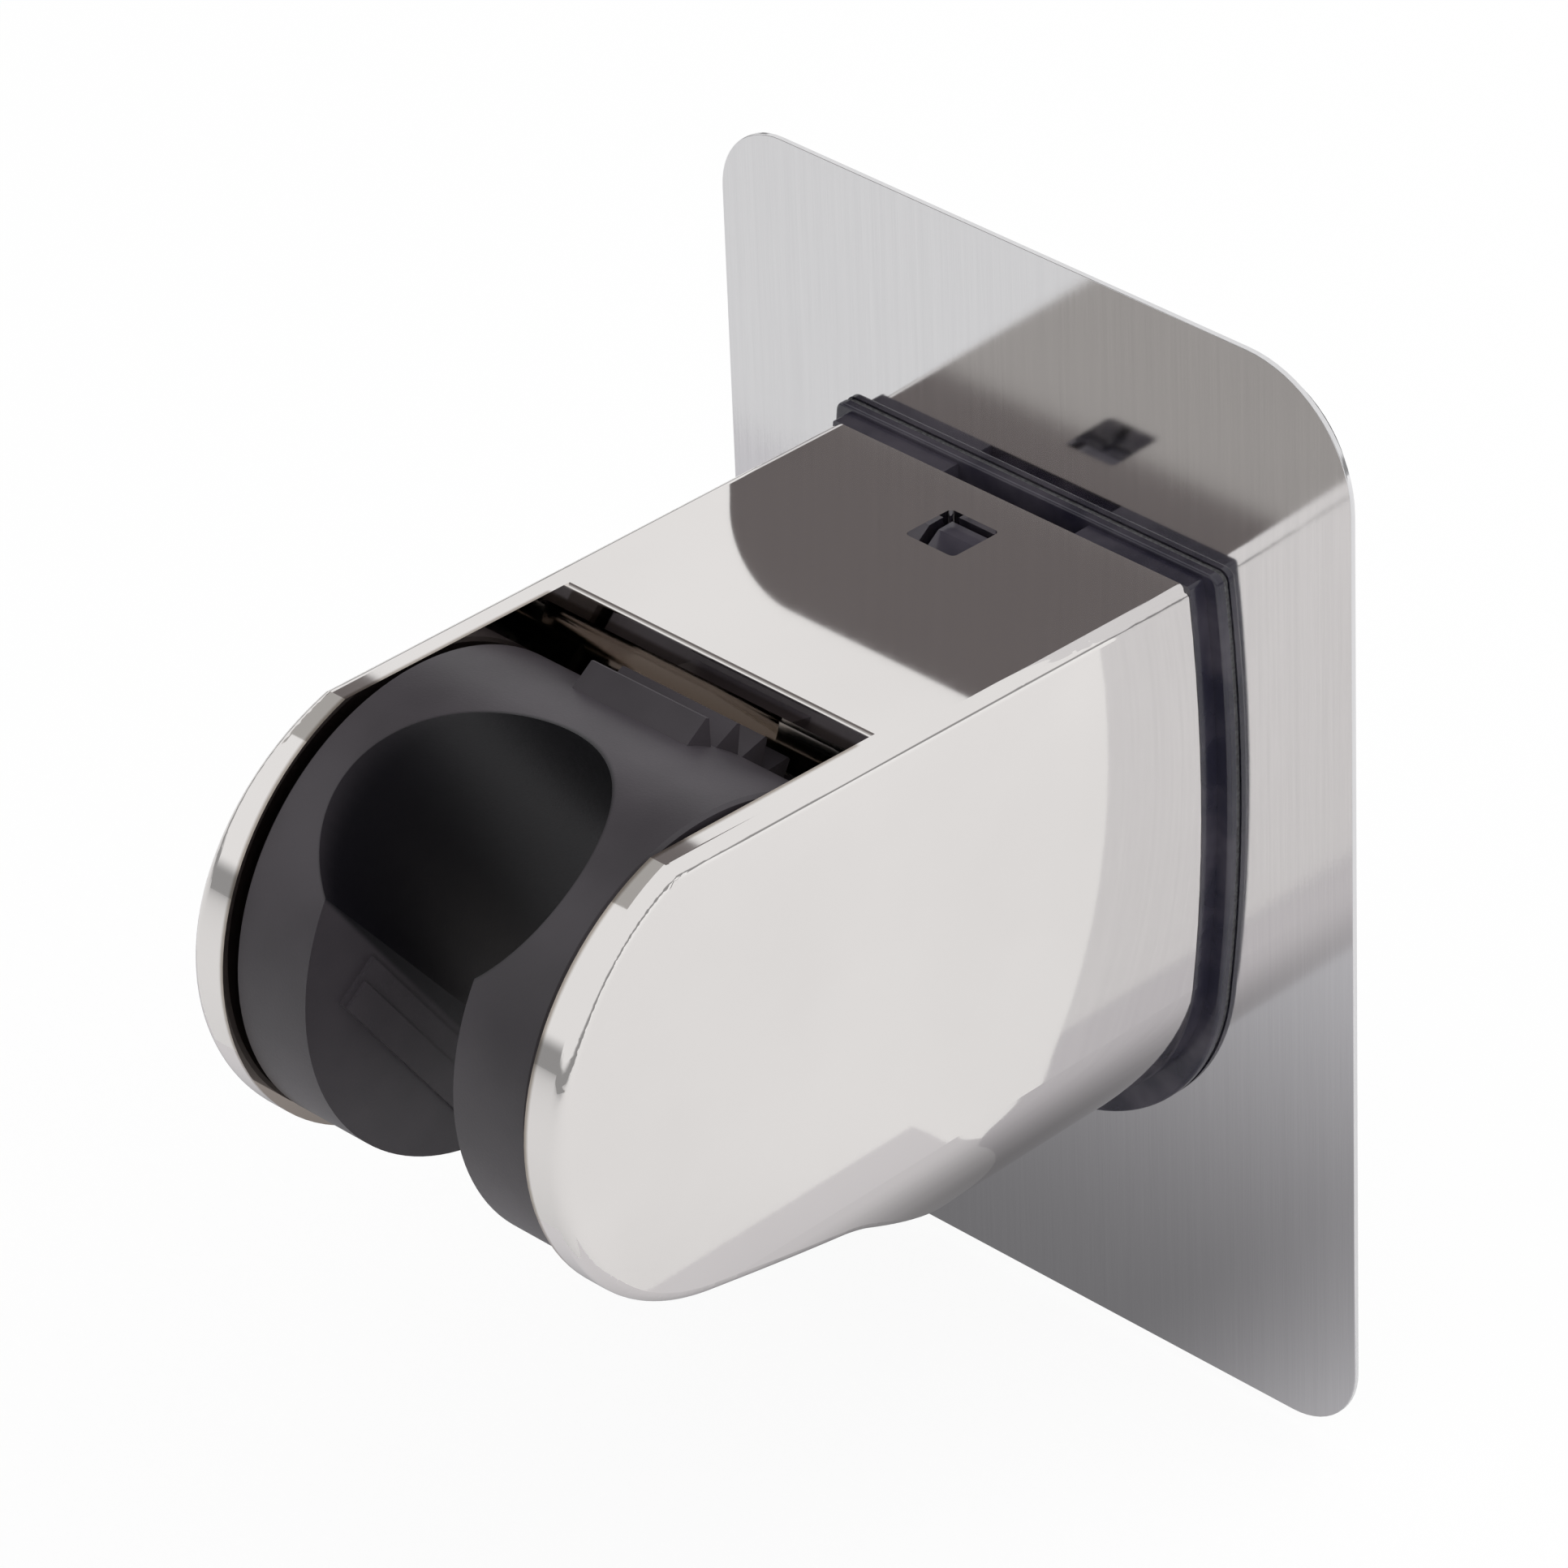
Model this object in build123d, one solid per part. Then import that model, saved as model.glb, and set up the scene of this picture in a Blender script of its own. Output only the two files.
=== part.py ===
# Self-adhesive wall holder for a hand shower.
# A chromed fork clips on a smoked bracket that is taped to a brushed steel plate.
# Between the arms of the fork turns a black cradle with a conical socket, a hose slot
# and a row of detent teeth that click against a leaf spring.
# Frame: the origin is the centre of the face that sticks to the wall. +X is to the
# right for someone facing the wall, +Y goes into the wall and +Z goes up.
from build123d import *
from math import atan2, cos, radians, sin, sqrt
import os

# Back plate and the pad that sticks it to the wall
plate_width = 69.0
plate_height = 101.0
plate_thickness = 0.4
plate_corner = 7.0
plate_soft_corner = 11.0
plate_edge_break = 0.1
pad_thickness = 1.4
pad_margin = 1.6

# Wall bracket and its tape
tape_thickness = 0.3
tape_margin = 0.2
flange_thickness = 0.8
flange_overhang = 1.5
flange_top_overhang = 0.55
flange_drop = 1.5
flange_top_corner = 1.0
flange_edge_break = 0.3
neck_depth = 1.7
neck_overhang = 0.1
neck_corner = 0.3
neck_recess_width = 14.5
neck_recess_depth = 1.6
plug_depth = 11.0
plug_wall = 1.8
plug_clearance = 0.3
tongue_width = 7.0
tongue_slit = 0.8
hook_length = 4.2
hook_flat = 1.6
hook_rear_gap = 0.4
hook_side_gap = 0.5
hook_sink = 0.7

# Housing outside
side_bulge_radius = 160.0
housing_half_width = 20.75
bulge_height = 9.5
top_height = 28.3
top_rise = 1.45
underside_centre = -7.9
housing_edge = 1.2
arm_line_drop = 3.8
arm_line_length = 17.3
haunch_radius = 14.0
heel_y = -19.3

# Housing inside
housing_wall = 2.2
housing_side_wall = 3.1
opening_width = 33.8
opening_rear = -37.9
opening_edge = 0.45
pocket_gap = 1.9
hose_way_width = 23.0
hose_way_rear = -24.8
hose_way_knee = -14.0
hose_way_angle = 20.0
snap_hole = 5.4
snap_hole_y = -11.2
snap_hole_corner = 0.5

# Hinge of the cradle
hinge_y = -55.7
hinge_drop = 18.4
nose_radius = 21.1
nose_drop = 0.1
axle_radius = 4.0
axle_length = 2.0
axle_gap = 0.05
axle_end_gap = 0.25
boss_radius = 7.0
boss_gap = 0.15

# Cradle
drum_radius = 20.3
drum_gap = 0.6
drum_edge = 0.3
recess_inner = 8.6
recess_outer = 18.0
recess_depth = 2.2
socket_tilt = 35.0
socket_offset = -1.0
socket_top_radius = 12.4
socket_bottom_radius = 10.4
socket_reach = 26.0
slot_width = 16.6
rib_start = 8.9
rib_step = 10.8
rib_end = 13.4
rib_low = 0.3
rib_high = 0.55
rib_top = 10.0
rib_top_slope = 0.6

# Detent teeth and spring
tooth_count = 9
tooth_pitch = 10.0
first_tooth = 62.5
tooth_height = 2.3
tooth_base = 3.2
tooth_crest = 0.35
tooth_row_width = 12.7
spring_valley = 5
spring_thickness = 0.5
spring_width = 7.0
spring_length = 19.0
spring_nose_length = 5.4
spring_tip = 0.8
spring_clearance = 0.2
window_gap = 0.6
seat_height = 1.2
seat_margin = 1.5
stake_radius = 1.0
stake_gap = 0.1
stake_head = 1.7
stake_head_height = 0.6
stake_inset = 2.6

# Points closer together than this count as the same
same_place = 1e-3

def underside_radius(half_width, centre_z):
    """Radius of the round underside that runs smoothly into the bulged sides."""
    across = side_bulge_radius - half_width
    return side_bulge_radius - sqrt(across**2 + (bulge_height - centre_z) ** 2)


# Places that follow from the sizes above
plate_front = -(pad_thickness + plate_thickness)
tape_front = plate_front - tape_thickness
flange_front = tape_front - flange_thickness
housing_rear = flange_front - neck_depth
housing_low = underside_centre - underside_radius(housing_half_width, underside_centre)
hinge_z = top_height - hinge_drop
nose_z = hinge_z - nose_drop
arm_inner = opening_width / 2
drum_half = arm_inner - drum_gap
crest_radius = drum_radius + tooth_height
pocket_radius = crest_radius + pocket_gap
cavity_half = housing_half_width - housing_side_wall
cavity_top = top_height - housing_wall
spring_angle = first_tooth - (spring_valley + 0.5) * tooth_pitch
seat_radius = pocket_radius + housing_wall + seat_height
span = 2 * (nose_radius + abs(hinge_y))


def bulged_outline(half_width, top, centre_z, top_corner=0.0):
    """Outline across the holder: flat top, gently bulging sides and a round underside."""
    low_radius = underside_radius(half_width, centre_z)
    reach = side_bulge_radius - low_radius
    sine = (bulge_height - centre_z) / reach
    join = (sqrt(1 - sine**2) * low_radius, centre_z - sine * low_radius)
    inset = side_bulge_radius - sqrt(side_bulge_radius**2 - (top - bulge_height) ** 2)
    corner = (half_width - inset, top)
    right = ThreePointArc(corner, (half_width, bulge_height), join)
    low = ThreePointArc(join, (0, centre_z - low_radius), (-join[0], join[1]))
    left = ThreePointArc((-join[0], join[1]), (-half_width, bulge_height), (-corner[0], top))
    face = make_face(Curve() + [right, low, left, Line((-corner[0], top), corner)])
    if top_corner > 0:
        face = fillet([v for v in face.vertices() if abs(v.Y - top) < same_place], top_corner)
    return face


def along_y(face, start, depth):
    """Extrude an outline drawn across the holder from y = start away from the wall."""
    return extrude(Plane.XZ.offset(-start) * face, amount=depth)


def across_x(face, half_width):
    """Extrude an outline drawn in the side view to both sides."""
    return extrude(Plane.YZ * face, amount=half_width, both=True)


def hinge_cylinder(radius, half_width):
    """A cylinder on the axis of the hinge."""
    return Pos(0, hinge_y, hinge_z) * Rot(0, 90, 0) * Cylinder(radius, 2 * half_width)


def make_back_plate():
    """Brushed steel sheet with one corner softer than the other three."""
    sheet = Rectangle(plate_width, plate_height)
    soft = [v for v in sheet.vertices() if v.X > 0 and v.Y > 0]
    sheet = fillet(soft, plate_soft_corner)
    left = [v for v in sheet.vertices() if abs(v.X + plate_width / 2) < same_place]
    low_right = [v for v in sheet.vertices() if v.X > 0 and abs(v.Y + plate_height / 2) < same_place]
    sheet = fillet(left + low_right, plate_corner)
    plate = along_y(sheet, -pad_thickness, plate_thickness)
    front = plate.faces().sort_by(Axis.Y)[0]
    return fillet(front.edges(), plate_edge_break)


def make_adhesive_pad():
    """Soft pad between the wall and the plate, a little smaller than the plate."""
    pad = RectangleRounded(
        plate_width - 2 * pad_margin, plate_height - 2 * pad_margin, plate_soft_corner - pad_margin
    )
    return along_y(pad, 0, pad_thickness)


def flange_outline(shrink=0.0, top_corner=flange_top_corner):
    """Outline of the bracket's flange, or a smaller one inside it."""
    return bulged_outline(
        housing_half_width + flange_overhang - shrink,
        top_height + flange_top_overhang - shrink,
        underside_centre - flange_drop,
        top_corner,
    )


def make_bracket_tape():
    """Thin double-sided tape between the plate and the bracket."""
    return along_y(flange_outline(tape_margin), plate_front, tape_thickness)


def cavity_outline(shrink=0.0):
    """Outline of the hollow in the housing, or of the plug that fits it."""
    radius = cavity_half - shrink
    height = cavity_top - shrink - underside_centre
    return Pos(0, underside_centre + height / 2) * Rectangle(2 * radius, height) + Pos(
        0, underside_centre
    ) * Circle(radius)


def make_wall_bracket():
    """Smoked flange with a neck, a hollow plug and a snap tongue with its hook."""
    flange = along_y(flange_outline(), tape_front, flange_thickness)
    flange = fillet(flange.faces().sort_by(Axis.Y)[0].edges(), flange_edge_break)
    neck_face = bulged_outline(
        housing_half_width + neck_overhang, top_height, underside_centre, neck_corner
    )
    neck = along_y(neck_face, flange_front, neck_depth)
    recess = Pos(0, flange_front - neck_depth / 2, top_height) * Box(
        neck_recess_width, neck_depth, 2 * neck_recess_depth
    )
    plug = along_y(cavity_outline(plug_clearance), housing_rear, plug_depth)
    hollow = along_y(
        cavity_outline(plug_clearance + plug_wall), flange_front, neck_depth + plug_depth
    )
    body = flange + (neck - recess) + plug - hollow
    plug_top = cavity_top - plug_clearance
    slit = Box(tongue_slit, plug_depth, 3 * plug_wall)
    for side in (-1, 1):
        x = side * (tongue_width + tongue_slit) / 2
        body -= Pos(x, housing_rear - plug_depth / 2, plug_top) * slit
    hook_width = snap_hole - 2 * hook_side_gap
    hook_top = top_height - hook_sink
    rear = snap_hole_y + snap_hole / 2 - hook_rear_gap
    ramp = Polyline(
        (rear, plug_top - plug_wall),
        (rear, hook_top),
        (rear - hook_flat, hook_top),
        (rear - hook_length, plug_top),
        (rear - hook_length, plug_top - plug_wall),
        close=True,
    )
    return body + across_x(make_face(ramp), hook_width / 2)


def arm_line():
    """Both ends of the straight line under an arm, in the side view."""
    turn = atan2(arm_line_drop, arm_line_length)
    leave = (hinge_y - nose_radius * sin(turn), nose_z - nose_radius * cos(turn))
    return leave, (leave[0] + arm_line_length, leave[1] - arm_line_drop)


def haunch_steepness():
    """Slope of the haunch, which runs from the arm line down to the heel."""
    root = arm_line()[1]
    return (housing_low - root[1]) / (heel_y - root[0])


def housing_side_view():
    """Side view of the housing: rising top, round nose, arm line and haunch."""
    slope = top_rise / (housing_rear - hinge_y)
    # The crease is where the sloping top line runs into the nose circle
    level = top_height + slope * (housing_rear - hinge_y) - nose_z
    run_square = 1 + slope**2
    half = slope * level
    run = (half - sqrt(half**2 - run_square * (level**2 - nose_radius**2))) / run_square
    crease = (hinge_y + run, nose_z + level - slope * run)
    leave, root = arm_line()
    low = (housing_rear, root[1] + haunch_steepness() * (housing_rear - root[0]))
    nose = ThreePointArc(crease, (hinge_y - nose_radius, nose_z), leave)
    under = FilletPolyline(leave, root, low, radius=haunch_radius)
    back = Line(low, (housing_rear, top_height))
    top = Line((housing_rear, top_height), crease)
    return make_face(Curve() + [nose, under, back, top])


def under_haunch():
    """Side view of all that lies lower than one wall above the haunch."""
    root = arm_line()[1]
    steep = haunch_steepness()
    start = root[1] + housing_wall * sqrt(1 + steep**2)
    end = start + steep * (housing_rear - root[0])
    corners = [(root[0], start), (housing_rear, end), (housing_rear, -span), (root[0], -span)]
    return make_face(Polyline(corners, close=True))


def make_housing_outside():
    """The solid that the fork is hollowed out of, with its outer edges rounded."""
    across = bulged_outline(housing_half_width, hinge_z + nose_radius, underside_centre)
    side_view = across_x(housing_side_view(), housing_half_width + housing_wall)
    block = along_y(across, housing_rear, span) & side_view

    def on_rim(edge):
        straight = edge.geom_type == GeomType.LINE
        return not straight and (edge @ 0.5).Y < housing_rear - housing_edge

    return fillet(block.edges().filter_by(on_rim), housing_edge)


def hose_way_outline(grow=0.0):
    """Side view of the way that the hose takes out under the cradle."""
    return make_face(
        Polyline(
            (hinge_y - nose_radius, 0),
            (hinge_y + pocket_radius * cos(radians(hose_way_angle)) + grow, 0),
            (hose_way_rear + grow, hose_way_knee),
            (hose_way_rear + grow, housing_low - housing_wall),
            (hinge_y - nose_radius, housing_low - housing_wall),
            close=True,
        )
    )


def around_hinge(angle):
    """A place on the hinge axis whose +Y points away from the axis at this angle."""
    return Pos(0, hinge_y, hinge_z) * Rot(angle, 0, 0)


def make_spring_seat():
    """Flat seat on the back of the pocket wall, to be fused with the wall."""
    inner = pocket_radius - housing_wall
    length = spring_length + 2 * seat_margin
    width = spring_width + 2 * (window_gap + seat_margin)
    block = Pos(0, (inner + seat_radius) / 2, 0) * Box(width, seat_radius - inner, length)
    return around_hinge(spring_angle) * block


def make_spring_window():
    """The hole that the nose of the spring reaches the teeth through."""
    depth = 2 * (seat_radius - drum_radius)
    width = spring_width + 2 * window_gap
    length = spring_nose_length + 2 * window_gap
    return around_hinge(spring_angle) * Pos(0, seat_radius, 0) * Box(width, depth, length)


def make_stakes():
    """Two pegs with flattened heads that hold the spring on its seat."""
    pegs = Part()
    for side in (-1, 1):
        z = side * (spring_length / 2 - stake_inset)
        peg = Pos(0, seat_radius + spring_thickness / 2, z) * Rot(90, 0, 0) * Cylinder(
            stake_radius, spring_thickness + 2 * stake_gap
        )
        head = Pos(0, seat_radius + spring_thickness + stake_head_height / 2, z) * Rot(
            90, 0, 0
        ) * Cylinder(stake_head, stake_head_height)
        pegs += peg + head
    return around_hinge(spring_angle) * pegs


def make_housing():
    """Chromed fork: a hollow body, two arms and the pocket that the cradle turns in."""
    body = make_housing_outside()
    pocket = hinge_cylinder(pocket_radius, arm_inner)
    front = Pos(0, hinge_y - span / 2, 0) * Box(opening_width, span, span)
    mouth = Pos(0, opening_rear - span / 2, hinge_z + pocket_radius / 2 + span / 2) * Box(
        opening_width, span, span
    )
    hose_way = across_x(hose_way_outline(), hose_way_width / 2)
    cavity = along_y(cavity_outline(), housing_rear, housing_rear - opening_rear)
    cavity -= hinge_cylinder(pocket_radius + housing_wall, span)
    cavity -= across_x(hose_way_outline(housing_wall), hose_way_width / 2 + housing_wall)
    cavity -= across_x(under_haunch(), span)
    cavity -= make_spring_seat()
    body = body - pocket - front - mouth - hose_way

    def at_mouth(edge):
        middle = edge @ 0.5
        return abs(middle.Y - opening_rear) < same_place and middle.Z > top_height

    body = fillet(body.edges().filter_by(Axis.X).filter_by(at_mouth), opening_edge)
    body = body - cavity - make_spring_window() + make_stakes()
    hole = Pos(0, snap_hole_y) * RectangleRounded(snap_hole, snap_hole, snap_hole_corner)
    body -= extrude(Pos(0, 0, cavity_top - housing_wall) * hole, amount=span)
    for side in (-1, 1):
        depth = axle_length + axle_end_gap
        body -= Pos(side * (arm_inner + depth / 2), hinge_y, hinge_z) * Rot(0, 90, 0) * Cylinder(
            axle_radius + axle_gap, depth
        )
    return body


def make_detent_spring():
    """Leaf spring whose nose points at the teeth."""
    tip = crest_radius + spring_clearance + spring_thickness / 2
    mid = seat_radius + spring_thickness / 2
    half = spring_nose_length / 2
    line = Polyline(
        (mid, spring_length / 2),
        (mid, half),
        (tip, spring_tip / 2),
        (tip, -spring_tip / 2),
        (mid, -half),
        (mid, -spring_length / 2),
    )
    strip = across_x(trace(line, spring_thickness), spring_width / 2)
    for side in (-1, 1):
        z = side * (spring_length / 2 - stake_inset)
        strip -= Pos(0, mid, z) * Rot(90, 0, 0) * Cylinder(
            stake_radius + stake_gap, 2 * spring_thickness
        )
    return around_hinge(spring_angle) * strip


def socket_frame():
    """A place on the hinge axis whose +Z runs up the conical socket."""
    return Pos(0, hinge_y, hinge_z) * Rot(socket_tilt, 0, 0)


def make_teeth():
    """Row of triangular detent teeth over the back of the drum."""
    root = drum_radius - drum_edge
    profile = make_face(
        Polyline(
            (root, -tooth_base / 2),
            (crest_radius, -tooth_crest / 2),
            (crest_radius, tooth_crest / 2),
            (root, tooth_base / 2),
            close=True,
        )
    )
    tooth = across_x(profile, tooth_row_width / 2)
    row = Part()
    for index in range(tooth_count):
        row += around_hinge(first_tooth - index * tooth_pitch) * tooth
    return row


def make_cradle():
    """Drum with a tilted conical socket, a hose slot, detent teeth and two stub axles."""
    drum = hinge_cylinder(drum_radius, drum_half)
    drum = chamfer(drum.edges().filter_by(GeomType.CIRCLE), drum_edge)
    ring = Cylinder(recess_outer, recess_depth) - Cylinder(recess_inner, recess_depth)
    for side in (-1, 1):
        end = Pos(side * drum_half, hinge_y, hinge_z) * Rot(0, 90 * side, 0)
        drum -= end * Pos(0, 0, -recess_depth / 2) * ring
    taper = (socket_top_radius - socket_bottom_radius) / (2 * drum_radius)
    middle = (socket_top_radius + socket_bottom_radius) / 2
    bore = Pos(0, -socket_offset, 0) * Cone(
        middle - taper * socket_reach, middle + taper * socket_reach, 2 * socket_reach
    )
    slot = Pos(0, -socket_reach / 2, 0) * Box(slot_width, socket_reach, 2 * socket_reach)
    body = drum - socket_frame() * (bore + slot)
    envelope = hinge_cylinder(drum_radius - drum_edge, drum_half)
    for side in (-1, 1):
        low = rib_box(side, rib_start, rib_end, rib_low, rib_top)
        high = rib_box(side, rib_step, rib_end, rib_high, rib_top - rib_top_slope)
        body += (socket_frame() * (low + high)) & envelope
    for side in (-1, 1):
        end = Pos(side * drum_half, hinge_y, hinge_z) * Rot(0, 90 * side, 0)
        boss = drum_gap - boss_gap
        body += end * Pos(0, 0, boss / 2) * Cylinder(boss_radius, boss)
        reach = drum_gap + axle_length
        body += end * Pos(0, 0, reach / 2) * Cylinder(axle_radius, reach)
    return body + make_teeth()


def rib_box(side, start, end, height, top):
    """One step of the raised rib on a cheek of the slot, in the frame of the socket."""
    x = side * (slot_width / 2 - height / 2)
    return Pos(x, -(start + end) / 2, (top - socket_reach) / 2) * Box(
        height, end - start, top + socket_reach
    )


os.makedirs("parts", exist_ok=True)
parts = {
    "adhesive_pad": make_adhesive_pad(),
    "back_plate": make_back_plate(),
    "bracket_tape": make_bracket_tape(),
    "wall_bracket": make_wall_bracket(),
    "housing": make_housing(),
    "detent_spring": make_detent_spring(),
    "cradle": make_cradle(),
}
for name, solid in parts.items():
    export_step(solid, f"parts/{name}.step")
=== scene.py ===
"""Looks, light and camera of the self-adhesive hand shower holder."""

from __future__ import annotations

import logging
import math
from dataclasses import dataclass, field
from enum import Enum
from typing import Any

import bpy
from mathutils import Matrix, Vector

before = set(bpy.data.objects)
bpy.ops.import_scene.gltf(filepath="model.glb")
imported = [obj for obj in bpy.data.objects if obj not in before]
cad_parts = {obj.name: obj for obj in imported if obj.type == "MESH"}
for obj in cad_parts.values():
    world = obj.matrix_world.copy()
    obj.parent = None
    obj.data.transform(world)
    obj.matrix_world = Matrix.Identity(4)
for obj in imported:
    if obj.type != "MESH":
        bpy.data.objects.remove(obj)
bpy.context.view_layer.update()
LOG = logging.getLogger("holder")

Colour = tuple[float, float, float]
Vec3 = tuple[float, float, float]
Band = tuple[float, float]

WHITE: Colour = (1.0, 1.0, 1.0)
CORNER_SIGNS = ((-1, -1), (1, -1), (1, 1), (-1, 1))
MIX_FACTOR, MIX_FIRST, MIX_SECOND = 0, 6, 7
MIX_RESULT = 2


class Axis(Enum):
    """The row axis that a pattern runs along."""

    X = 0
    Y = 1
    Z = 2


@dataclass(frozen=True)
class Grain:
    """A noise pattern.

    Attributes:
        scale: How many spots it has to a metre, about.
        detail: Its levels of detail.
        rough: How strong the finer levels are.
    """

    scale: float
    detail: float = 2.0
    rough: float = 0.5


class Socket:
    """A node's output socket with arithmetic, so that a pattern reads as a formula."""

    def __init__(self, nodes: "NodeMaker", output: bpy.types.NodeSocket) -> None:
        """Keeps the tree's maker and the socket.

        Args:
            nodes: The maker that adds the Math nodes.
            output: The socket that this object stands for.
        """
        self.nodes = nodes
        self.output = output

    def _math(self, operation: str, *values: Any) -> "Socket":
        """Adds one Math node.

        Args:
            operation: The Math node's operation.
            values: Numbers or sockets, in the order of its inputs.

        Returns:
            The node's value.
        """
        inputs = dict(enumerate(values))
        return self.nodes.add("ShaderNodeMath", {"operation": operation}, inputs)

    def __add__(self, other: Any) -> "Socket":
        """Adds a number or a socket."""
        return self._math("ADD", self, other)

    def __sub__(self, other: Any) -> "Socket":
        """Takes a number or a socket away."""
        return self._math("SUBTRACT", self, other)

    def __rsub__(self, other: Any) -> "Socket":
        """Takes this socket away from a number."""
        return self._math("SUBTRACT", other, self)

    def __mul__(self, other: Any) -> "Socket":
        """Multiplies by a number or a socket."""
        return self._math("MULTIPLY", self, other)

    def size(self) -> "Socket":
        """The value without its sign."""
        return self._math("ABSOLUTE", self)

    def step(self, low: float, high: float) -> "Socket":
        """A soft step.

        Args:
            low: The value below which the result is 0.
            high: The value above which the result is 1.

        Returns:
            A value from 0 to 1.
        """
        settings = {"interpolation_type": "SMOOTHSTEP"}
        inputs = {"Value": self, "From Min": low, "From Max": high}
        return self.nodes.add("ShaderNodeMapRange", settings, inputs)

    def part(self, axis: Axis) -> "Socket":
        """One part of a vector.

        Args:
            axis: Which part.

        Returns:
            The part's value.
        """
        return self.nodes.add("ShaderNodeSeparateXYZ", None, {"Vector": self}, output=axis.name)


class NodeMaker:
    """Adds nodes to one material's or world's tree."""

    def __init__(self, tree: bpy.types.NodeTree) -> None:
        """Starts with an empty tree.

        Args:
            tree: The tree to fill.
        """
        self.tree = tree
        tree.nodes.clear()

    def add(
        self,
        kind: str,
        settings: dict[str, Any] | None = None,
        inputs: dict[Any, Any] | None = None,
        output: int | str = 0,
    ) -> Socket:
        """Adds one node.

        Args:
            kind: The node's type.
            settings: Its properties.
            inputs: Values or sockets by input name or number; a colour may leave out alpha.
            output: The name or number of the output to return.

        Returns:
            One output of the new node.
        """
        node = self.tree.nodes.new(kind)
        for name, value in (settings or {}).items():
            setattr(node, name, value)
        for key, value in (inputs or {}).items():
            target = node.inputs[key]
            if isinstance(value, Socket):
                self.tree.links.new(value.output, target)
            elif isinstance(value, tuple) and len(target.default_value) > len(value):
                target.default_value = (*value, 1.0)
            else:
                target.default_value = value
        return Socket(self, node.outputs[output])

    def place(self, stretch: Vec3 = (1.0, 1.0, 1.0)) -> Socket:
        """Object coordinates, stretched.

        Args:
            stretch: Stretch along X, Y and Z.

        Returns:
            The vector.
        """
        where = self.add("ShaderNodeTexCoord", output="Object")
        return self.add("ShaderNodeMapping", None, {"Vector": where, "Scale": stretch})

    def noise(self, vector: Socket, grain: Grain) -> Socket:
        """A noise value.

        Args:
            vector: Where it is read.
            grain: The pattern.

        Returns:
            A value about 0.5.
        """
        inputs = {
            "Vector": vector,
            "Scale": grain.scale,
            "Detail": grain.detail,
            "Roughness": grain.rough,
        }
        return self.add("ShaderNodeTexNoise", None, inputs)

    def distance(self, vector: Socket, point: Vec3, axis: Vec3) -> Socket:
        """How far a place is from a line.

        Args:
            vector: The place.
            point: A point on the line.
            axis: The line's direction, of length 1.

        Returns:
            The distance in metres.
        """
        offset = self._vector("SUBTRACT", {0: vector, 1: point})
        across = self._vector("CROSS_PRODUCT", {0: offset, 1: axis})
        return self._vector("LENGTH", {0: across}, "Value")

    def _vector(self, operation: str, inputs: dict[int, Any], output: str = "Vector") -> Socket:
        """Adds one Vector Math node.

        Args:
            operation: The node's operation.
            inputs: Vectors by input number.
            output: The name of the output to return.

        Returns:
            One output of the node.
        """
        return self.add("ShaderNodeVectorMath", {"operation": operation}, inputs, output)

    def mix(self, factor: Any, first: Any, second: Any) -> Socket:
        """Mixes two colours.

        Args:
            factor: Share of the second colour.
            first: First colour.
            second: Second colour.

        Returns:
            The mixed colour.
        """
        settings = {"data_type": "RGBA"}
        inputs = {MIX_FACTOR: factor, MIX_FIRST: first, MIX_SECOND: second}
        return self.add("ShaderNodeMix", settings, inputs, MIX_RESULT)

    def bump(self, height: Socket, distance: float) -> Socket:
        """A bump from a height.

        Args:
            height: Height from 0 to 1.
            distance: What a height of 1 stands for, in metres.

        Returns:
            The normal.
        """
        return self.add("ShaderNodeBump", None, {"Height": height, "Distance": distance})

    def surface(self, shader: Socket, kind: str = "ShaderNodeOutputMaterial") -> None:
        """Joins a shader to a new output node.

        Args:
            shader: What is shown.
            kind: The output node's type.
        """
        node = self.tree.nodes.new(kind)
        self.tree.links.new(shader.output, node.inputs["Surface"])


@dataclass(frozen=True)
class Finish:
    """A finish that covers one or more pieces."""

    name: str

    def recipe(self, nodes: NodeMaker) -> dict[str, Any]:
        """The inputs of the finish's Principled shader.

        Args:
            nodes: The maker of the material's tree.

        Returns:
            Values or sockets by input name.
        """
        raise NotImplementedError

    def material(self) -> bpy.types.Material:
        """Makes the material.

        Returns:
            The new material.
        """
        made = bpy.data.materials.new(self.name)
        made.use_nodes = True
        nodes = NodeMaker(made.node_tree)
        nodes.surface(nodes.add("ShaderNodeBsdfPrincipled", None, self.recipe(nodes)))
        return made


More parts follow.
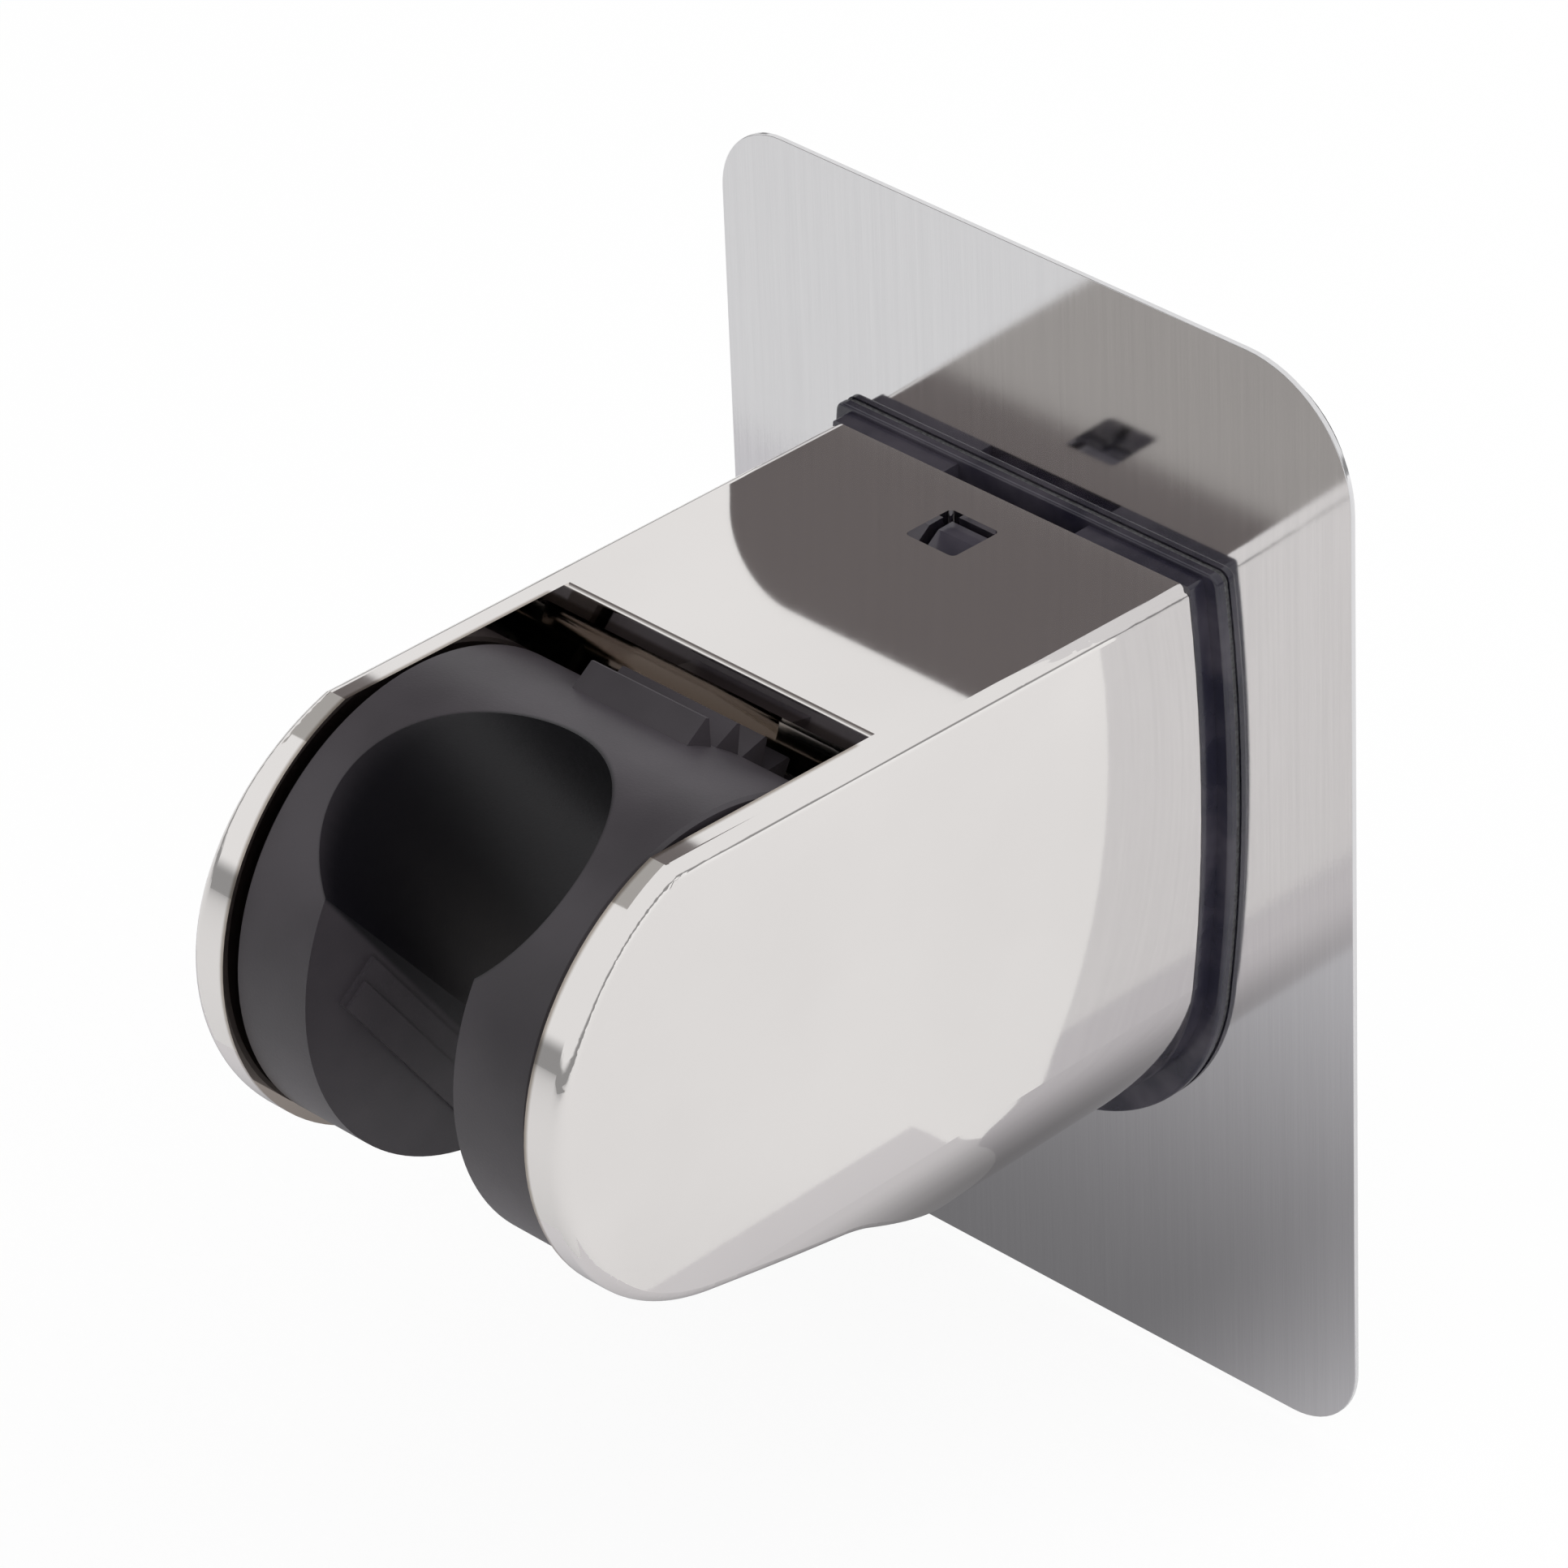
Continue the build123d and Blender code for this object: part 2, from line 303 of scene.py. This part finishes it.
@dataclass(frozen=True)
class Chrome(Finish):
    """Bright chrome on moulded plastic, with the slight waves of the moulding.

    The pocket behind the cradle has a painted shade, darker and duller than the outside.
    It is the space within a radius of the hinge's line and between the arms.
    """

    tint: Colour = (0.905, 0.877, 0.86)
    shadow_tint: Colour = (0.87, 0.842, 0.826)
    pocket_painted_shade: Colour = (0.42, 0.375, 0.335)
    gloss: float = 0.035
    drift: Grain = Grain(38.0, 3.0)
    drift_band: Band = (0.35, 0.75)
    haze: Grain = Grain(900.0, 4.0, 0.6)
    haze_share: float = 0.03
    waves: Grain = Grain(55.0, 1.0, 0.3)
    wave_height: float = 0.000012
    hinge: Vec3 = (0.0, -0.0557, 0.0099)
    hinge_axis: Vec3 = (1.0, 0.0, 0.0)
    pocket_radius: float = 0.0252
    pocket_half: float = 0.0172
    border: float = 0.0002

    def _beyond(self, value: Socket, limit: float) -> Socket:
        """A narrow soft step at a limit.

        Args:
            value: A distance in metres.
            limit: Where the step is.

        Returns:
            0 within the limit and 1 beyond it.
        """
        return value.step(limit - self.border, limit + self.border)

    def recipe(self, nodes: NodeMaker) -> dict[str, Any]:
        """Metal whose colour, roughness and flatness drift a little, with a painted shade in the
        pocket.
        """
        place = nodes.place()
        around = nodes.distance(place, self.hinge, self.hinge_axis)
        shell = self._beyond(around, self.pocket_radius)
        arms = self._beyond(place.part(Axis.X).size(), self.pocket_half)
        pocket_shade = (1.0 - shell) * (1.0 - arms)
        drift = nodes.noise(place, self.drift).step(*self.drift_band)
        plated = nodes.mix(drift, self.tint, self.shadow_tint)
        return {
            # painted shade: the pocket's mask mixes in a darker colour where the cradle shades
            # the chrome
            "Base Color": nodes.mix(pocket_shade, plated, self.pocket_painted_shade),
            "Metallic": 1.0,
            "Roughness": nodes.noise(place, self.haze) * self.haze_share + self.gloss,
            "Normal": nodes.bump(nodes.noise(place, self.waves), self.wave_height),
        }


@dataclass(frozen=True)
class BrushedSteel(Finish):
    """Stainless steel with fine brush lines along one axis."""

    axis: Axis = Axis.Z
    light: Colour = (0.86, 0.855, 0.866)
    dark: Colour = (0.795, 0.79, 0.803)
    gloss: float = 0.05
    stretch: float = 0.006
    fine: Grain = Grain(20000.0, 3.0, 0.65)
    broad: Grain = Grain(20000.0 / 9.0)
    broad_share: float = 0.35
    streak_band: Band = (0.3, 0.7)
    haze_share: float = 0.06
    line_height: float = 0.0000012

    def recipe(self, nodes: NodeMaker) -> dict[str, Any]:
        """Long thin streaks that change the colour, the roughness and the normal."""
        place = nodes.place(tuple(self.stretch if axis is self.axis else 1.0 for axis in Axis))
        fine = nodes.noise(place, self.fine) * (1.0 - self.broad_share)
        streaks = fine + nodes.noise(place, self.broad) * self.broad_share
        return {
            "Base Color": nodes.mix(streaks.step(*self.streak_band), self.dark, self.light),
            "Metallic": 1.0,
            "Roughness": streaks * self.haze_share + self.gloss,
            "Normal": nodes.bump(streaks, self.line_height),
        }


@dataclass(frozen=True)
class SmokedPlastic(Finish):
    """Dark, slightly clouded plastic with a glossy skin."""

    deep: Colour = (0.017, 0.016, 0.033)
    pale: Colour = (0.078, 0.07, 0.092)
    gloss: float = 0.16
    refraction: float = 1.52
    coat: float = 0.25
    cloud: Grain = Grain(120.0, 3.0, 0.55)
    cloud_band: Band = (0.35, 0.7)
    skin: Grain = Grain(1400.0)
    skin_share: float = 0.08
    skin_height: float = 0.000004

    def recipe(self, nodes: NodeMaker) -> dict[str, Any]:
        """A glossy skin over a colour that clouds a little."""
        place = nodes.place()
        cloud = nodes.noise(place, self.cloud).step(*self.cloud_band)
        skin = nodes.noise(place, self.skin)
        return {
            "Base Color": nodes.mix(cloud, self.deep, self.pale),
            "Roughness": skin * self.skin_share + self.gloss,
            "IOR": self.refraction,
            "Coat Weight": self.coat,
            "Normal": nodes.bump(skin, self.skin_height),
        }


@dataclass(frozen=True)
class SatinBlack(Finish):
    """Black moulded plastic with a fine satin grain, with a painted shade in the bore of the
    socket.
    """

    deep: Colour = (0.036, 0.031, 0.037)
    pale: Colour = (0.064, 0.056, 0.065)
    bore_painted_shade: Colour = (0.005, 0.0045, 0.007)
    gloss: float = 0.33
    refraction: float = 1.5
    drift: Grain = Grain(60.0, 3.0)
    drift_band: Band = (0.3, 0.7)
    grain: Grain = Grain(4200.0, 2.0, 0.6)
    haze_share: float = 0.08
    grain_height: float = 0.00001
    bore_middle: Vec3 = (0.0, -0.05488, 0.01047)
    bore_axis: Vec3 = (0.0, -0.573576, 0.819152)
    bore_border: Band = (0.0122, 0.0126)

    def recipe(self, nodes: NodeMaker) -> dict[str, Any]:
        """Fine grain in the normal, slowly drifting colour and gloss, and a painted shade in the
        bore.
        """
        place = nodes.place()
        from_axis = nodes.distance(place, self.bore_middle, self.bore_axis)
        drift = nodes.noise(place, self.drift)
        grain = nodes.noise(place, self.grain)
        skin = nodes.mix(drift.step(*self.drift_band), self.deep, self.pale)
        haze = drift * self.haze_share + grain * self.haze_share
        return {
            # painted shade: the bore of the socket is coloured near black by its distance from
            # the bore's axis
            "Base Color": nodes.mix(from_axis.step(*self.bore_border), self.bore_painted_shade, skin),
            "Roughness": haze + self.gloss,
            "IOR": self.refraction,
            "Normal": nodes.bump(grain, self.grain_height),
        }


@dataclass(frozen=True)
class Foam(Finish):
    """Closed-cell adhesive foam."""

    deep: Colour = (0.05, 0.05, 0.052)
    pale: Colour = (0.10, 0.10, 0.102)
    gloss: float = 0.7
    cells_per_metre: float = 3200.0
    cell_height: float = 0.00008
    cloud: Grain = Grain(220.0, 3.0)
    cloud_share: float = 0.4
    mask_band: Band = (0.2, 0.8)
    haze_share: float = 0.2

    def recipe(self, nodes: NodeMaker) -> dict[str, Any]:
        """Small round cells in the colour and the normal."""
        place = nodes.place()
        inputs = {"Vector": place, "Scale": self.cells_per_metre}
        cells = nodes.add("ShaderNodeTexVoronoi", None, inputs)
        cloud = nodes.noise(place, self.cloud)
        mask = cells * (1.0 - self.cloud_share) + cloud * self.cloud_share
        return {
            "Base Color": nodes.mix(mask.step(*self.mask_band), self.deep, self.pale),
            "Roughness": cloud * self.haze_share + self.gloss,
            "Normal": nodes.bump(cells, self.cell_height),
        }


def dress(node: str, material: bpy.types.Material) -> None:
    """Gives a CAD node its material.

    Args:
        node: The node's name.
        material: The material.
    """
    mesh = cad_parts[node].data
    mesh.materials.clear()
    mesh.materials.append(material)
    LOG.info("dressed %s with %s", node, material.name)


@dataclass
class WallMount:
    """The steel plate, the smoked bracket and the two adhesive layers."""

    plate: BrushedSteel = BrushedSteel("plate_steel")
    smoke: SmokedPlastic = SmokedPlastic("smoked_plastic")
    foam: Foam = Foam("adhesive_foam")
    tape: Foam = Foam("mounting_tape", (0.10, 0.10, 0.105), (0.20, 0.20, 0.205))

    def build(self) -> None:
        """Dresses the pieces between the wall and the fork."""
        dress("adhesive_pad", self.foam.material())
        dress("bracket_tape", self.tape.material())
        dress("back_plate", self.plate.material())
        dress("wall_bracket", self.smoke.material())


@dataclass
class Fork:
    """The chromed housing and the spring in it."""

    chrome: Chrome = Chrome("bright_chrome")
    steel: BrushedSteel = BrushedSteel("spring_steel", Axis.X, gloss=0.2)

    def build(self) -> None:
        """Dresses the housing and the leaf spring."""
        dress("housing", self.chrome.material())
        dress("detent_spring", self.steel.material())


@dataclass
class Cradle:
    """The black drum that holds the hand shower."""

    plastic: SatinBlack = SatinBlack("satin_black")

    def build(self) -> None:
        """Dresses the cradle."""
        dress("cradle", self.plastic.material())


def add_sheet(name: str, corners: list[Vec3]) -> tuple[bpy.types.Object, NodeMaker]:
    """Adds a flat four-cornered sheet with a material of its own.

    Args:
        name: The name of the sheet and of its material.
        corners: Its corners in order.

    Returns:
        The sheet and the maker of its material's tree.
    """
    mesh = bpy.data.meshes.new(name)
    mesh.from_pydata(corners, [], [(0, 1, 2, 3)])
    sheet = bpy.data.objects.new(name, mesh)
    made = bpy.data.materials.new(name)
    made.use_nodes = True
    mesh.materials.append(made)
    bpy.context.scene.collection.objects.link(sheet)
    return sheet, NodeMaker(made.node_tree)


@dataclass(frozen=True)
class Lamp:
    """A soft square lamp that looks at one point and that no reflection shows."""

    name: str
    place: Vec3
    aim: Vec3
    size: float
    power: float

    def build(self) -> None:
        """Adds the lamp."""
        data = bpy.data.lights.new(self.name, "AREA")
        data.shape = "SQUARE"
        data.size = self.size
        data.energy = self.power
        lamp = bpy.data.objects.new(self.name, data)
        lamp.visible_glossy = False
        lamp.location = self.place
        look = Vector(self.aim) - Vector(self.place)
        lamp.rotation_euler = look.to_track_quat("-Z", "Y").to_euler()
        bpy.context.scene.collection.objects.link(lamp)


@dataclass(frozen=True)
class Card:
    """A flat card that only reflections see, as a studio puts round bright metal; the one on the
    floor is a painted shadow.

    Attributes:
        name: The card's name.
        middle: Its middle.
        across: From the middle to one end.
        along: From the middle to the rear edge.
        level: Its light at the rear edge.
        colour: The colour of its light.
        spread: How much the light rises towards the front edge and both ends.
        ends: Where along the card, from 0 to 1, the rise of the low end stops and that of
            the high end starts.
    """

    name: str
    middle: Vec3
    across: Vec3
    along: Vec3
    level: float
    colour: Colour
    spread: float = 0.0
    ends: Band = (0.2, 0.76)

    def _strength(self, nodes: NodeMaker) -> Socket:
        """The card's light, which rises by the spread towards its front and its ends.

        Args:
            nodes: The maker of the card's material.

        Returns:
            The strength.
        """
        where = nodes.add("ShaderNodeTexCoord", output="Generated")
        low_end, high_end = self.ends
        x = where.part(Axis.X)
        rear = where.part(Axis.Y).step(0.0, 1.0)
        core = rear * x.step(0.0, low_end) * (1.0 - x.step(high_end, 1.0))
        return (1.0 - core) * self.spread + self.level

    def build(self) -> None:
        """Adds the card."""
        middle, across, along = (Vector(v) for v in (self.middle, self.across, self.along))
        corners = [tuple(middle + a * across + b * along) for a, b in CORNER_SIGNS]
        card, nodes = add_sheet(self.name, corners)
        glossy = nodes.add("ShaderNodeLightPath", output="Is Glossy Ray")
        clear = nodes.add("ShaderNodeBsdfTransparent")
        light = {"Color": self.colour, "Strength": self._strength(nodes)}
        face = nodes.add("ShaderNodeEmission", None, light)
        nodes.surface(nodes.add("ShaderNodeMixShader", None, {0: glossy, 1: clear, 2: face}))
        card.visible_shadow = False


@dataclass
class Studio:
    """Floor, air, lamp, cards and camera.

    Attributes:
        floor_z: Height of the floor.
        floor_half: Half its width.
        floor_colour: Its colour, as light and reflections see it.
        shadow_share: How much of that colour the camera sees over plain white.
        white_level: The plain white's level.
        air_level: The air's light on matt surfaces.
        gloss_level: The air's level in reflections.
        horizon_level: The same near the horizon, which draws fine dark lines on rounded edges.
        horizon_band: Heights of the sight line between which the two levels blend.
        azimuth: The camera's azimuth in degrees.
        elevation: Its elevation in degrees.
        roll: Its roll in degrees.
        distance: Its distance from the target.
        target: What it looks at.
        focal_pixels: Its focal length in pixels of the photograph.
        image_pixels: The photograph's width in pixels.
        sensor_width: The camera's sensor in millimetres.
        clip: The nearest and farthest distance that it shows.
        lamps: The lamps.
        cards: The cards.
    """

    floor_z: float = -0.0515
    floor_half: float = 3.0
    floor_colour: Colour = (0.94, 0.94, 0.94)
    shadow_share: float = 0.1
    white_level: float = 1.02
    air_level: float = 0.45
    gloss_level: float = 0.83
    horizon_level: float = 0.3
    horizon_band: Band = (0.1, 0.2)
    azimuth: float = 45.81
    elevation: float = 32.98
    roll: float = -2.41
    distance: float = 0.77128
    target: Vec3 = (0.0031, -0.03415, 0.01702)
    focal_pixels: float = 12000.0
    image_pixels: float = 1932.0
    sensor_width: float = 36.0
    clip: Band = (0.01, 20.0)
    lamps: list[Lamp] = field(
        default_factory=lambda: [
            Lamp("key", (0.5, 0.45, 0.72), (0.0, -0.03, 0.0), 3.0, 21.0),
        ]
    )
    cards: list[Card] = field(
        default_factory=lambda: [
            Card(
                "dark_flag",
                (-0.046, -0.0335, 0.065),
                (0.04, 0.0, 0.0),
                (0.0, 0.0165, 0.0),
                0.16,
                (1.0, 0.91, 0.9),
            ),
            Card(
                "grey_flag",
                (-0.046, -0.063, 0.065),
                (0.04, 0.0, 0.0),
                (0.0, 0.013, 0.0),
                0.4,
                (1.0, 0.98, 0.95),
            ),
            # painted shadow: a sheet just above the floor under the holder, darkest at its rear
            # core by the wall plate, that reflections see instead of the floor
            Card(
                "painted_floor_shadow",
                (-0.04, -0.0425, -0.0505),
                (0.09, 0.0, 0.0),
                (0.0, 0.0425, 0.0),
                0.19,
                (0.99, 0.975, 1.0),
                spread=0.45,
            ),
        ]
    )

    def _floor(self) -> None:
        """Adds the pale floor, white to the camera, with the object's shadow on it."""
        half = self.floor_half
        corners = [(a * half, b * half, self.floor_z) for a, b in CORNER_SIGNS]
        floor, nodes = add_sheet("floor", corners)
        paint = nodes.add("ShaderNodeBsdfDiffuse", None, {"Color": self.floor_colour})
        light = {"Color": WHITE, "Strength": self.white_level}
        white = nodes.add("ShaderNodeEmission", None, light)
        seen = nodes.add("ShaderNodeLightPath", output="Is Camera Ray")
        share = seen * (1.0 - self.shadow_share)
        nodes.surface(nodes.add("ShaderNodeMixShader", None, {0: share, 1: paint, 2: white}))

    def _air(self) -> None:
        """Sets the world: white to the camera, a plain level for light, one for gloss."""
        world = bpy.data.worlds.new("studio_air")
        bpy.context.scene.world = world
        world.use_nodes = True
        nodes = NodeMaker(world.node_tree)
        seen = nodes.add("ShaderNodeLightPath", output="Is Camera Ray")
        glossy = nodes.add("ShaderNodeLightPath", output="Is Glossy Ray")
        sight = nodes.add("ShaderNodeTexCoord", output="Generated")
        sky = sight.part(Axis.Z).step(*self.horizon_band)
        shine = sky * (self.gloss_level - self.horizon_level) + self.horizon_level
        level = seen * (1.0 - self.air_level) + glossy * (shine - self.air_level) + self.air_level
        air = nodes.add("ShaderNodeBackground", None, {"Color": WHITE, "Strength": level})
        nodes.surface(air, "ShaderNodeOutputWorld")

    def _camera(self) -> None:
        """Adds the camera at the photograph's place."""
        az, el, roll = (math.radians(v) for v in (self.azimuth, self.elevation, self.roll))
        back = Vector((math.sin(az) * math.cos(el), -math.cos(az) * math.cos(el), math.sin(el)))
        right = (-back).cross(Vector((0.0, 0.0, 1.0))).normalized()
        rise = right.cross(-back)
        across = math.cos(roll) * right + math.sin(roll) * rise
        up = -math.sin(roll) * right + math.cos(roll) * rise
        data = bpy.data.cameras.new("camera")
        data.sensor_width = self.sensor_width
        data.lens = self.focal_pixels / self.image_pixels * data.sensor_width
        data.clip_start, data.clip_end = self.clip
        camera = bpy.data.objects.new("camera", data)
        turn = Matrix((across, up, back)).transposed().to_4x4()
        place = Vector(self.target) + self.distance * back
        camera.matrix_world = Matrix.Translation(place) @ turn
        bpy.context.scene.collection.objects.link(camera)
        bpy.context.scene.camera = camera

    def build(self) -> None:
        """Builds the whole studio."""
        bpy.context.scene.view_settings.view_transform = "Standard"
        self._floor()
        self._air()
        for item in (*self.lamps, *self.cards):
            item.build()
        self._camera()
        LOG.info("studio with %d lamps and %d cards", len(self.lamps), len(self.cards))


def main() -> None:
    """Builds every part of the scene in order."""
    logging.basicConfig(level=logging.INFO, format="%(name)s: %(message)s")
    for part in (WallMount(), Fork(), Cradle(), Studio()):
        part.build()


if __name__ == "__main__":
    main()
